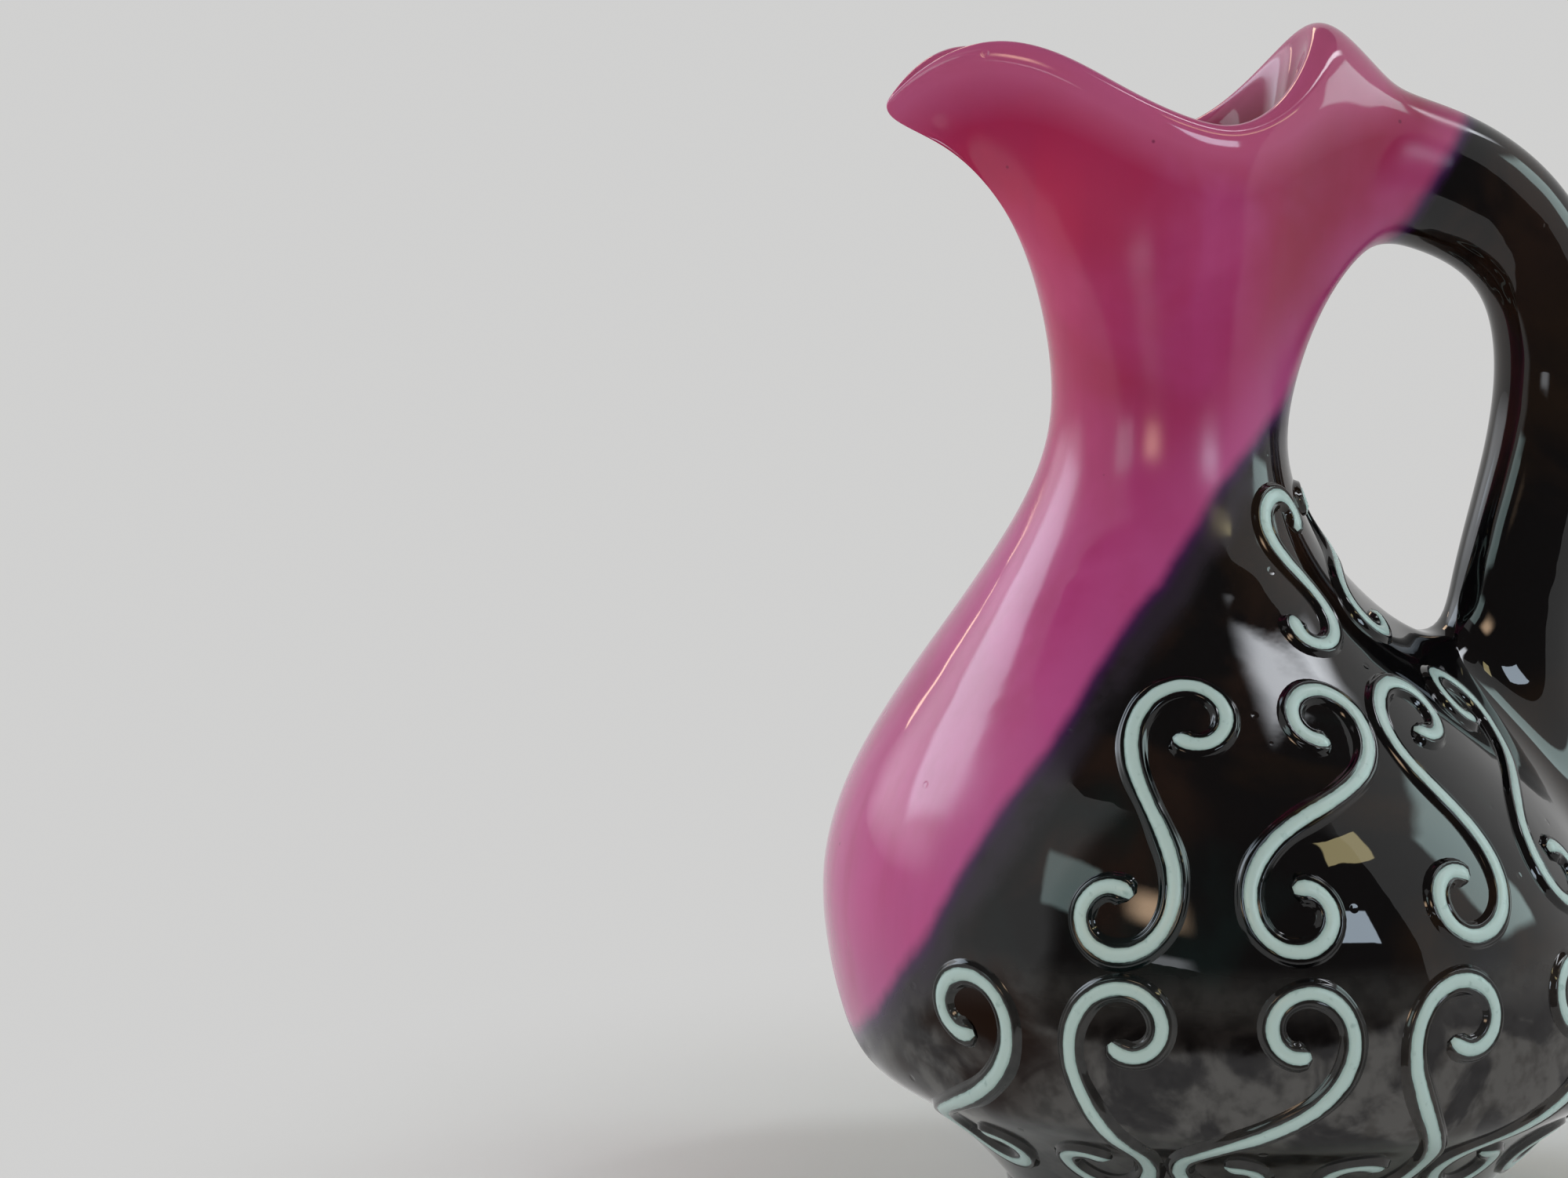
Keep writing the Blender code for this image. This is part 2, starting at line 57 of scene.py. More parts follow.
FILM_DARK = (0.030, 0.029, 0.031, 1)
FILM_TOP = 68 * MM
FILM_BOTTOM = 54 * MM
MIRROR_ROUGHNESS = 0.015
FILM_ROUGHNESS = 0.11
HAZE_ROUGHNESS = 0.22


def put(tree, kind, inputs=None, **settings):
    """A shader node with its settings. An input is a value or another node's output."""
    made = tree.nodes.new(kind)
    for name, value in settings.items():
        setattr(made, name, value)
    for key, value in (inputs or {}).items():
        if isinstance(value, bpy.types.NodeSocket):
            tree.links.new(value, made.inputs[key])
        else:
            made.inputs[key].default_value = value
    return made


def calc(tree, operation, *values):
    return put(tree, "ShaderNodeMath", dict(enumerate(values)), operation=operation).outputs[0]


def blend_colours(tree, factor, first, second):
    inputs = {0: factor, 6: first, 7: second}
    return put(tree, "ShaderNodeMix", inputs, data_type="RGBA").outputs[2]


def tint(tree, under, colour, mask, share):
    """One colour laid over another where the mask is, at no more than the share."""
    return blend_colours(tree, calc(tree, "MULTIPLY", mask, share), under, colour)


def overlap(tree, mask, *others):
    """Where all the masks lie over each other."""
    for other in others:
        mask = calc(tree, "MULTIPLY", mask, other)
    return mask


def fade(tree, value, start, end):
    """0 before start and 1 after end, eased between them; start may be the larger."""
    inputs = {"Value": value, "From Min": start, "From Max": end}
    return put(tree, "ShaderNodeMapRange", inputs, interpolation_type="SMOOTHSTEP").outputs[0]


def cloud(tree, vector, scale, detail=3.0, distortion=0.0):
    inputs = {"Vector": vector, "Scale": scale, "Detail": detail, "Distortion": distortion}
    return put(tree, "ShaderNodeTexNoise", inputs).outputs[0]


def colour_ramp(tree, factor, *stops):
    made = put(tree, "ShaderNodeValToRGB", {0: factor})
    elements = made.color_ramp.elements
    while len(elements) < len(stops):
        elements.new(0.5)
    for element, (place, colour) in zip(elements, stops):
        element.position = place
        element.color = colour
    return made.outputs[0]


def new_group(name, inputs, outputs):
    group = bpy.data.node_groups.new(name, "ShaderNodeTree")
    for label, kind in inputs:
        group.interface.new_socket(label, in_out="INPUT", socket_type=kind)
    for label, kind in outputs:
        group.interface.new_socket(label, in_out="OUTPUT", socket_type=kind)
    return group, group.nodes.new("NodeGroupInput"), group.nodes.new("NodeGroupOutput")


lustre, lustre_in, lustre_out = new_group(
    "black_lustre",
    [("Haze", "NodeSocketFloat"), ("Film", "NodeSocketFloat")],
    [("Color", "NodeSocketColor"), ("Roughness", "NodeSocketFloat"), ("Metallic", "NodeSocketFloat")],
)
place = put(lustre, "ShaderNodeTexCoord").outputs["Object"]
height = put(lustre, "ShaderNodeSeparateXYZ", {0: place}).outputs["Z"]
bloom = cloud(lustre, place, 15, 4, 0.8)
sheen = colour_ramp(
    lustre,
    bloom,
    (0.34, LUSTRE_GREEN),
    (0.42, LUSTRE_BLACK),
    (0.53, LUSTRE_BLACK),
    (0.60, LUSTRE_BRONZE),
    (0.66, LUSTRE_BLACK),
    (0.74, LUSTRE_BLUE),
)
low = overlap(lustre, fade(lustre, height, FILM_TOP, FILM_BOTTOM), lustre_in.outputs["Film"])
specks = fade(lustre, cloud(lustre, place, 240, 5), 0.34, 0.60)
film = overlap(lustre, low, calc(lustre, "MULTIPLY_ADD", specks, 0.40, 0.60))
blots = overlap(lustre, low, fade(lustre, cloud(lustre, place, 75, 7, 0.6), 0.54, 0.40))
skin = blend_colours(lustre, film, sheen, FILM_GREY)
skin = tint(lustre, skin, FILM_DARK, blots, 0.8)
haze = lustre_in.outputs["Haze"]
lustre.links.new(blend_colours(lustre, haze, skin, HAZE_GREY), lustre_out.inputs["Color"])
satin = calc(lustre, "MULTIPLY_ADD", film, FILM_ROUGHNESS, MIRROR_ROUGHNESS)
rough = calc(lustre, "MULTIPLY_ADD", haze, HAZE_ROUGHNESS, satin)
lustre.links.new(rough, lustre_out.inputs["Roughness"])
clear = calc(lustre, "SUBTRACT", 1, haze)
lustre.links.new(overlap(lustre, low, clear), lustre_out.inputs["Metallic"])


# Melted surface. Glaze that has run and pooled in the kiln is never quite flat: it has slow swells, a
# fine orange peel and a few pinholes. Every glazed material takes this height for its bump.
SWELL_HEIGHT = 0.85
PEEL_HEIGHT = 0.018
PINHOLE_DEPTH = -0.12
melt, melt_in, melt_out = new_group("melted_surface", [], [("Height", "NodeSocketFloat")])
place = put(melt, "ShaderNodeTexCoord").outputs["Object"]
swell = calc(melt, "MULTIPLY", cloud(melt, place, 38, 2, 0.3), SWELL_HEIGHT)
peel = calc(melt, "MULTIPLY", cloud(melt, place, 240, 2), PEEL_HEIGHT)
cells = put(melt, "ShaderNodeTexVoronoi", {"Vector": place, "Scale": 85}).outputs["Distance"]
pinholes = calc(melt, "MULTIPLY", fade(melt, cells, 0.085, 0.03), PINHOLE_DEPTH)
total = calc(melt, "ADD", calc(melt, "ADD", swell, peel), pinholes)
melt.links.new(total, melt_out.inputs["Height"])


# Foot ring. The clay left under the belly is turned into a ring for the jug to stand on. Its outside
# takes the dip of black glaze, and its sole is wiped bare so that it doesn't stick to the kiln shelf.
foot_low, foot_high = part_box("foot_ring")
FOOT_X = (foot_low.x + foot_high.x) / 2
SOLE_RADIUS = (foot_high.x - foot_low.x) / 2
SOLE_WIDTH = 9 * MM
FOOT_WAIST = 1.0 * MM
FOOT_WAIST_SHARE = 0.62
FOOT_TUCK = 0.6 * MM
FOOT_EDGE = 1.5 * MM
FOOT_TURNS = 128
SHARP_EDGE = math.radians(12)
WELD = 0.01 * MM
GLAZE_IOR = 1.5
BUMP_STRENGTH = 0.5
BUMP_DEPTH = 0.9 * MM
GLAZE_LINE = 2.6 * MM
GLAZE_LINE_BLUR = 0.3 * MM
GLAZE_LINE_WANDER = 1.2 * MM
CLAY_ROUGHNESS = 0.85
BARE_CLAY = (0.085, 0.064, 0.052, 1)
BARE_CLAY_DARK = (0.040, 0.031, 0.027, 1)


def finish_mesh(bm, name, *materials):
    """The finished bmesh as a smooth object at the origin."""
    mesh = bpy.data.meshes.new(name)
    bm.to_mesh(mesh)
    bm.free()
    mesh.shade_smooth()
    for material in materials:
        mesh.materials.append(material)
    obj = bpy.data.objects.new(name, mesh)
    bpy.context.collection.objects.link(obj)
    return obj


def new_glaze(name):
    """A material with its node tree, its shader, and the bump of the melted surface."""
    material = bpy.data.materials.new(name)
    material.use_nodes = True
    tree = material.node_tree
    shader = tree.nodes["Principled BSDF"]
    shader.inputs["IOR"].default_value = GLAZE_IOR
    height = put(tree, "ShaderNodeGroup", node_tree=melt).outputs["Height"]
    sizes = {"Strength": BUMP_STRENGTH, "Distance": BUMP_DEPTH, "Height": height}
    tree.links.new(put(tree, "ShaderNodeBump", sizes).outputs[0], shader.inputs["Normal"])
    return material, tree, shader


foot_glaze, tree, shader = new_glaze("foot_glaze_and_clay")
place = put(tree, "ShaderNodeTexCoord").outputs["Object"]
height = put(tree, "ShaderNodeSeparateXYZ", {0: place}).outputs["Z"]
wander = calc(tree, "MULTIPLY_ADD", cloud(tree, place, 60, 3), 2 * GLAZE_LINE_WANDER, -GLAZE_LINE_WANDER)
level = calc(tree, "ADD", height, wander)
bare = fade(tree, level, GLAZE_LINE + GLAZE_LINE_BLUR, GLAZE_LINE - GLAZE_LINE_BLUR)
clay = blend_colours(tree, cloud(tree, place, 420, 5), BARE_CLAY_DARK, BARE_CLAY)
black = put(tree, "ShaderNodeGroup", {"Haze": 0.15, "Film": 1.0}, node_tree=lustre)
tree.links.new(blend_colours(tree, bare, black.outputs["Color"], clay), shader.inputs["Base Color"])
rough = calc(tree, "MAXIMUM", black.outputs["Roughness"], calc(tree, "MULTIPLY", bare, CLAY_ROUGHNESS))
tree.links.new(rough, shader.inputs["Roughness"])
covered = calc(tree, "SUBTRACT", 1, bare)
tree.links.new(overlap(tree, covered, black.outputs["Metallic"]), shader.inputs["Metallic"])

bm = bmesh.new()
inner = SOLE_RADIUS - SOLE_WIDTH
outline = [
    (SOLE_RADIUS - FOOT_TUCK, foot_high.z + FOOT_TUCK),
    (SOLE_RADIUS - FOOT_WAIST, foot_high.z * FOOT_WAIST_SHARE),
    (SOLE_RADIUS, foot_low.z + FOOT_EDGE * 2),
    (SOLE_RADIUS - FOOT_TUCK, foot_low.z),
    (inner + FOOT_TUCK, foot_low.z),
    (inner, foot_high.z + FOOT_TUCK),
]
corners = [bm.verts.new((FOOT_X + r, 0, z)) for r, z in outline]
sides = [bm.edges.new((corners[i - 1], corners[i])) for i in range(len(corners))]
around = {"cent": (FOOT_X, 0, 0), "axis": (0, 0, 1), "angle": 2 * math.pi}
bmesh.ops.spin(bm, geom=corners + sides, steps=FOOT_TURNS, use_merge=True, **around)
bmesh.ops.remove_doubles(bm, verts=bm.verts, dist=WELD)
bmesh.ops.recalc_face_normals(bm, faces=bm.faces)
level_edges = [e for e in bm.edges if abs(e.verts[0].co.z - e.verts[1].co.z) < WELD]
rings = [e for e in level_edges if len(e.link_faces) == 2]
rims = [e for e in rings if e.calc_face_angle() > SHARP_EDGE]
rounding = {"offset": FOOT_EDGE / 2, "segments": 3, "profile": 0.5}
bmesh.ops.bevel(bm, geom=rims, affect="EDGES", material=-1, **rounding)
turned_foot = finish_mesh(bm, "turned_foot", foot_glaze)
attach(turned_foot, "root")
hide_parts("foot_ring")


# The glazed wall. Belly, neck and mouth are thrown, luted together and smoothed into one wall, the rim
# is pulled into a spout and a back peak, and a pulled handle is luted on, so under the glaze nothing
# shows of the joints. One skin stands for them, with the hollow inside it.
FOOT_RADIUS = 47.4 * MM
FOOT_HEIGHT = 9 * MM
BELLY_RADIUS = 79.7 * MM
BELLY_HEIGHT = 58.3 * MM
NECK_RADIUS = 22.6 * MM
NECK_HEIGHT = 162 * MM
NECK_SET_FORWARD = 18 * MM
SHOULDER_SWAY = 1.9 * MM
LEAN_END = 139 * MM
WALL = 5 * MM
FLOOR_THICKNESS = 6 * MM
UNDERSIDE = Vector((26.8 * MM, 36.1 * MM))
LOWER_FULLNESS = Vector((0, 40.4 * MM))
SHOULDER_FULLNESS = Vector((0, 39.2 * MM))
NECK_FULLNESS = Vector((0, 34.7 * MM))
COLUMNS = 24
LOWER_RINGS = 5
UPPER_RINGS = 8
MOUTH_RINGS = 5
RECESS_DEPTH = 6.5 * MM
RECESS_SHARES = (0.5, 0.9, 1)
FIRST_ROW = -len(RECESS_SHARES)
FLOOR_SHARE = 0.6
SMOOTHING_LEVELS = 3


def bezier(a, b, c, d, t):
    s = 1 - t
    return a * s**3 + b * (3 * s * s * t) + c * (3 * s * t * t) + d * t**3


def ease(t):
    t = min(1.0, max(0.0, t))
    return t * t * (3 - 2 * t)


def axis_x(z):
    """The wall leans forward from the foot to the shoulder, and a little back to the neck's waist."""
    forward = (NECK_SET_FORWARD + SHOULDER_SWAY) * ease((z - FOOT_HEIGHT) / (LEAN_END - FOOT_HEIGHT))
    return FOOT_X - forward + SHOULDER_SWAY * ease((z - LEAN_END) / (NECK_HEIGHT - LEAN_END))


def thrown_outline():
    """(radius, height) of the outer wall from the foot to the neck's waist."""
    foot = Vector((FOOT_RADIUS, FOOT_HEIGHT))
    belly = Vector((BELLY_RADIUS, BELLY_HEIGHT))
    waist = Vector((NECK_RADIUS, NECK_HEIGHT))
    lower = (foot, foot + UNDERSIDE, belly - LOWER_FULLNESS, belly)
    upper = (belly, belly + SHOULDER_FULLNESS, waist - NECK_FULLNESS, waist)
    points = [bezier(*lower, i / LOWER_RINGS) for i in range(LOWER_RINGS)]
    return points + [bezier(*upper, i / UPPER_RINGS) for i in range(UPPER_RINGS + 1)]


def column_angle(column):
    return 2 * math.pi * column / COLUMNS


def thrown_point(column, radius, z):
    turn = column_angle(column)
    return Vector((axis_x(z) + radius * math.cos(turn), radius * math.sin(turn), z))


# The rim, from the back peak by the side's dip and hump to the spout's tip
SPOUT_REACH = 60 * MM
PEAK_REACH = 36 * MM
MOUTH_HALF_WIDTH = 24 * MM
LIP = 7 * MM
TIP_LIP = 10 * MM
PEAK_LIP = 10 * MM
RIM_ANGLES = (0.0, math.radians(86.4), math.radians(132.8), math.pi)
RIM_HEIGHTS = (238 * MM, 215.8 * MM, 233.5 * MM, 222.2 * MM)
FLARE_OUT = (10 * MM, 9 * MM, 40 * MM, 77 * MM)
FLARE_UP = (60 * MM, 50 * MM, 43 * MM, 4.3 * MM)
BACK_PINCH = 0.9
SPOUT_PINCH = 2.3
MOUTH_RISE = 75 * MM
RIM_ROUNDING = 0.55
RIM_CROWN = 0.75
CREST_INSETS = (0.2, 0.8)


def along_keys(value, places, heights):
    """A curve through the heights at the places, level at each of them."""
    for i in range(len(places) - 1):
        if value <= places[i + 1]:
            share = (value - places[i]) / (places[i + 1] - places[i])
            return heights[i] + (heights[i + 1] - heights[i]) * (0.5 - 0.5 * math.cos(math.pi * share))
    return heights[-1]


def mouth_point(column, t, depth):
    """From the neck's waist (t 0) to the rim (t 1), on the outer (depth 0) or inner (depth 1) face."""
    angle = column_angle(column)
    side = abs((angle + math.pi) % (2 * math.pi) - math.pi)
    outward = Vector((math.cos(angle), math.sin(angle), 0))
    start = outward * (NECK_RADIUS - WALL * depth) + Vector((0, 0, NECK_HEIGHT))
    if side < math.pi / 2:
        reach, pinch = PEAK_REACH - PEAK_LIP * depth, BACK_PINCH
    else:
        reach, pinch = SPOUT_REACH - TIP_LIP * depth, SPOUT_PINCH
    half_width = (MOUTH_HALF_WIDTH - LIP * depth) * math.sin(side) ** pinch
    rise = along_keys(side, RIM_ANGLES, RIM_HEIGHTS) - LIP * RIM_ROUNDING
    end = Vector((reach * math.cos(side), math.copysign(half_width, math.sin(angle)), rise))
    out = along_keys(side, RIM_ANGLES, FLARE_OUT)
    arrive = outward * out + Vector((0, 0, along_keys(side, RIM_ANGLES, FLARE_UP)))
    point = bezier(start, start + Vector((0, 0, MOUTH_RISE / 3)), end - arrive / 3, end, t)
    return point + Vector((FOOT_X - NECK_SET_FORWARD, 0, 0))


def crest_point(column, depth):
    edge = mouth_point(column, 1, 0).lerp(mouth_point(column, 1, 1), depth)
    return edge + Vector((0, 0, LIP * RIM_CROWN))


def hollow_outline():
    """(radius, height) of the inside from the neck's waist down to the floor."""
    outer = thrown_outline()
    floor = FOOT_HEIGHT + FLOOR_THICKNESS
    points = []
    for i in range(len(outer) - 1, 0, -2):
        along = (outer[min(i + 1, len(outer) - 1)] - outer[i - 1]).normalized()
        inset = outer[i] + Vector((-along.y, along.x)) * WALL
        if inset.y > floor + WALL:
            points.append(inset)
    return points + [Vector((FOOT_RADIUS, floor)), Vector((FOOT_RADIUS * FLOOR_SHARE, floor))]


def grow_ring(bm, edges, layer, place):
    """Extrudes a ring of edges and puts each new corner where place says, by its number in the layer."""
    made = bmesh.ops.extrude_edge_only(bm, edges=edges)["geom"]
    fresh = {item for item in made if isinstance(item, bmesh.types.BMVert)}
    for vert in fresh:
        vert.co = place(vert[layer])
    ring = [item for item in made if isinstance(item, bmesh.types.BMEdge)]
    return fresh, [edge for edge in ring if edge.verts[0] in fresh and edge.verts[1] in fresh]


bm = bmesh.new()
column = bm.verts.layers.int.new("column")
row = bm.verts.layers.int.new("row")
spoke = bm.verts.layers.int.new("spoke")
inside = bm.verts.layers.float.new("inside")
lip = bm.verts.layers.float.new("lip")
centre_radius = FOOT_RADIUS * RECESS_SHARES[0]
start = bmesh.ops.create_circle(bm, cap_ends=True, segments=COLUMNS, radius=centre_radius)["verts"]
for vert in start:
    vert[column] = round(math.atan2(vert.co.y, vert.co.x) / column_angle(1)) % COLUMNS
    vert.co = thrown_point(vert[column], centre_radius, RECESS_DEPTH)
    vert[row] = FIRST_ROW
ring = list({edge for vert in start for edge in vert.link_edges})

rings = [(thrown_point, (FOOT_RADIUS * share, RECESS_DEPTH), 0, 0) for share in RECESS_SHARES[1:]]
rings += [(thrown_point, (p.x, p.y), 0, 0) for p in thrown_outline()]
rings += [(mouth_point, (i / MOUTH_RINGS, 0), 0, i == MOUTH_RINGS) for i in range(1, MOUTH_RINGS + 1)]
rings += [(crest_point, (depth,), 0, 1) for depth in CREST_INSETS]
rings += [(mouth_point, (i / MOUTH_RINGS, 1), 1, i == MOUTH_RINGS) for i in range(MOUTH_RINGS, 0, -1)]
rings += [(thrown_point, (p.x, p.y), 1, 0) for p in hollow_outline()]
for number, (shape, sizes, is_inside, is_lip) in enumerate(rings, FIRST_ROW + 1):
    fresh, ring = grow_ring(bm, ring, column, lambda k: shape(k, *sizes))
    for vert in fresh:
        vert[row] = number
        vert[inside] = is_inside
        vert[lip] = is_lip
bmesh.ops.contextual_create(bm, geom=ring)

# The handle, pulled from a lug of clay, from the back of the mouth down to the belly's back
HANDLE_ROOT = Vector((27 * MM, 0, 211 * MM))
HANDLE_BEND = Vector((65.5 * MM, 0, 172 * MM))
HANDLE_FOOT = Vector((56 * MM, 0, 112 * MM))
HANDLE_LEAVE_ROOT = Vector((22 * MM, 0, -3.5 * MM))
HANDLE_REACH_BEND = Vector((0, 0, 24 * MM))
HANDLE_LEAVE_BEND = Vector((0, 0, -22 * MM))
HANDLE_REACH_FOOT = Vector((3 * MM, 0, 24 * MM))
HANDLE_THICKNESSES = (30 * MM, 25.5 * MM, 30 * MM)
HANDLE_WIDTH = 23 * MM
HANDLE_RINGS = 5
HANDLE_SIDES = 16
UPPER_WEB = 10 * MM
LOWER_WEB = 5 * MM
UPPER_ROOT = (LOWER_RINGS + UPPER_RINGS + 1, 4, 2)
LOWER_ROOT = (LOWER_RINGS - 1, 6, 1)


def in_root(face, first_row, rows, columns):
    """Whether a face of the outer wall lies where the handle's root goes."""
    turns = [(vert[column] + COLUMNS // 2) % COLUMNS - COLUMNS // 2 for vert in face.verts]
    spans = [vert[row] for vert in face.verts]
    return min(spans) >= first_row and max(spans) <= first_row + rows and max(map(abs, turns)) <= columns


def handle_place(number):
    """The centre line's point at a ring, its outward direction and half its thickness."""
    upper = (HANDLE_ROOT, HANDLE_ROOT + HANDLE_LEAVE_ROOT, HANDLE_BEND + HANDLE_REACH_BEND, HANDLE_BEND)
    lower = (HANDLE_BEND, HANDLE_BEND + HANDLE_LEAVE_BEND, HANDLE_FOOT + HANDLE_REACH_FOOT, HANDLE_FOOT)
    centres = [bezier(*upper, i / HANDLE_RINGS) for i in range(HANDLE_RINGS)]
    centres += [bezier(*lower, i / HANDLE_RINGS) for i in range(HANDLE_RINGS + 1)]
    last = len(centres) - 1
    along = (centres[min(number + 1, last)] - centres[max(number - 1, 0)]).normalized()
    thickness = along_keys(number, (0, HANDLE_RINGS, last), HANDLE_THICKNESSES)
    centre = centres[number] + Vector((FOOT_X, 0, 0))
    return centre, Vector((-along.z, 0, along.x)), thickness / 2


def handle_point(side, number):
    turn = 2 * math.pi * side / HANDLE_SIDES
    centre, outward, half = handle_place(number)
    return centre + outward * (half * math.cos(turn)) + Vector((0, HANDLE_WIDTH / 2 * math.sin(turn), 0))


holes = [f for f in bm.faces if any(in_root(f, *root) for root in (UPPER_ROOT, LOWER_ROOT))]
bmesh.ops.delete(bm, geom=holes, context="FACES")
open_edges = [edge for edge in bm.edges if edge.is_boundary]
upper_edges = [edge for edge in open_edges if edge.verts[0].co.z > NECK_HEIGHT]
lower_edges = [edge for edge in open_edges if edge.verts[0].co.z < NECK_HEIGHT]
upper_loop = {vert for edge in upper_edges for vert in edge.verts}
lower_loop = {vert for edge in lower_edges for vert in edge.verts}
middle = sum((vert.co for vert in upper_loop), Vector()) / len(upper_loop)
turned = sorted(upper_loop, key=lambda v: math.atan2(v.co.y, v.co.z - middle.z) % (2 * math.pi - 1e-6))
for number, vert in enumerate(turned):
    vert[spoke] = number
ring = upper_edges
handle_corners = set()
for number in range(2 * HANDLE_RINGS + 1):
    fresh, ring = grow_ring(bm, ring, spoke, lambda k: handle_point(k, number))
    for vert in fresh:
        vert[inside] = 0
        vert[lip] = 0
    handle_corners |= fresh
bmesh.ops.bridge_loops(bm, edges=ring + lower_edges)
for loop, web in ((upper_loop, UPPER_WEB), (lower_loop, LOWER_WEB)):
    for vert in loop:
        ends = [edge.other_vert(vert) for edge in vert.link_edges]
        target = next(end for end in ends if end in handle_corners)
        vert.co += (target.co - vert.co).normalized() * web
bmesh.ops.recalc_face_normals(bm, faces=bm.faces)

# Two glazes meet on the wall along a slanting line: the pink, over a white slip, covers the mouth, the
# inside and the front, and the black covers the back. Where they run together they fire to a dull plum.
DIP_START = -107 * MM
DIP_LEAN = 0.709
DIP_TWIST = 0.521
DIP_SOFTENING = 12 * MM
DIP_WANDER = 3.2 * MM
BLACK_EDGE = (-1.5 * MM, 2.5 * MM)
PLUM_REACH = (-4 * MM, 0.5 * MM)
RUN_REACH = (-20 * MM, -3 * MM)
HAZE_REACH = (10 * MM, 2 * MM)
BURN_START = (4 * MM, 12 * MM)
BURN_END = (58 * MM, 24 * MM)
DULL_REACH = (-22 * MM, -6 * MM)
BELOW_HANDLE = (182 * MM, 160 * MM)
BLUSH_RISE = (150 * MM, 200 * MM)
NECK_SHADING_RISE = (135 * MM, 175 * MM)
NECK_LIGHT_TOP = (224 * MM, 200 * MM)
NECK_SHADE_BACK = (-24 * MM, 16 * MM)
NECK_LIGHT_FRONT = (-24 * MM, -44 * MM)
BELLY_FALL = (150 * MM, 70 * MM)
WAIST_RISE = (130 * MM, 152 * MM)
WAIST_TOP = (222 * MM, 200 * MM)
PINK_ROUGHNESS = 0.02
PINK_UNEVENNESS = 0.06
WAIST_DULLNESS = 0.13
EDGE_DULLNESS = 0.17
DULLEST_PINK = 0.25
PINK_DEEP = (0.385, 0.029, 0.115, 1)
PINK_MIDDLE = (0.465, 0.048, 0.200, 1)
PINK_PALE = (0.590, 0.095, 0.300, 1)
PINK_RUDDY = (0.420, 0.018, 0.076, 1)
PINK_SHADED_BACK = (0.300, 0.008, 0.046, 1)
PINK_LIT_FORE = (0.640, 0.045, 0.125, 1)
PINK_RUN = (0.520, 0.085, 0.280, 1)
PINK_SHADED_INSIDE = (0.190, 0.004, 0.020, 1)
PINK_LIP = (0.660, 0.170, 0.350, 1)
PINK_LOW_AND_SHEEN = (0.600, 0.085, 0.295, 1)
PLUM_EDGE = (0.050, 0.010, 0.075, 1)
LILAC_HAZE = (0.026, 0.017, 0.032, 1)
BURNT_BROWN = (0.018, 0.009, 0.006, 1)
SPECK = (0.10, 0.006, 0.045, 1)

dipped, tree, shader = new_glaze("dipped_glazes")
place = put(tree, "ShaderNodeTexCoord").outputs["Object"]
x, y, z = put(tree, "ShaderNodeSeparateXYZ", {0: place}).outputs
slack = calc(tree, "SQRT", calc(tree, "MULTIPLY_ADD", y, y, DIP_SOFTENING**2))
across = calc(tree, "MULTIPLY", calc(tree, "SUBTRACT", y, slack), 0.5 * DIP_TWIST)
line = calc(tree, "ADD", calc(tree, "MULTIPLY_ADD", z, DIP_LEAN, DIP_START + FOOT_X), across)
wander = calc(tree, "MULTIPLY_ADD", cloud(tree, place, 45, 4), DIP_WANDER * 2, -DIP_WANDER)
past = calc(tree, "ADD", calc(tree, "SUBTRACT", x, line), wander)
inner_face = put(tree, "ShaderNodeAttribute", attribute_name="inside").outputs["Fac"]
outer_face = calc(tree, "SUBTRACT", 1, inner_face)
dark = overlap(tree, fade(tree, past, *BLACK_EDGE), outer_face)
plum = overlap(tree, fade(tree, past, *PLUM_REACH), outer_face)
patchy = fade(tree, cloud(tree, place, 75, 5), 0.25, 0.62)
hazy = overlap(tree, fade(tree, past, *HAZE_REACH), patchy, fade(tree, z, *BELOW_HANDLE))
scorched = fade(tree, cloud(tree, place, 32, 4, 1.0), 0.40, 0.62)
burnt = overlap(tree, fade(tree, past, *BURN_START), fade(tree, past, *BURN_END), scorched)

mottle = cloud(tree, place, 17, 4, 0.7)
pink = colour_ramp(tree, mottle, (0.33, PINK_DEEP), (0.50, PINK_MIDDLE), (0.70, PINK_PALE))
blush = fade(tree, cloud(tree, place, 21, 3, 1.2), 0.36, 0.62)
pink = tint(tree, pink, PINK_RUDDY, overlap(tree, blush, fade(tree, z, *BLUSH_RISE)), 0.8)
# Painted shade: from the neck up, the handle side, away from the main lights, is painted a darker pink.
lit_and_shaded_neck = fade(tree, z, *NECK_SHADING_RISE)
behind = overlap(tree, fade(tree, x, *NECK_SHADE_BACK), lit_and_shaded_neck)
pink = tint(tree, pink, PINK_SHADED_BACK, behind, 0.85)
# Painted light: on the neck, the spout side, where the main lights fall, is painted a paler salmon.
before = overlap(tree, fade(tree, x, *NECK_LIGHT_FRONT), lit_and_shaded_neck, fade(tree, z, *NECK_LIGHT_TOP))
pink = tint(tree, pink, PINK_LIT_FORE, before, 0.6)
# Towards the bottom of the outer wall the pink is painted paler: partly the glaze's own tone, partly a
# painted reflection of the pale floor.
pink = tint(tree, pink, PINK_LOW_AND_SHEEN, overlap(tree, fade(tree, z, *BELLY_FALL), outer_face), 0.75)
stretched = put(tree, "ShaderNodeMapping", {"Vector": place, "Scale": (1, 1, 0.12)}).outputs[0]
streaks = fade(tree, cloud(tree, stretched, 130, 4), 0.40, 0.75)
pink = tint(tree, pink, PINK_DEEP, streaks, 0.30)
runny = fade(tree, cloud(tree, place, 30, 3), 0.30, 0.60)
pink = tint(tree, pink, PINK_RUN, overlap(tree, fade(tree, past, *RUN_REACH), runny, outer_face), 0.75)
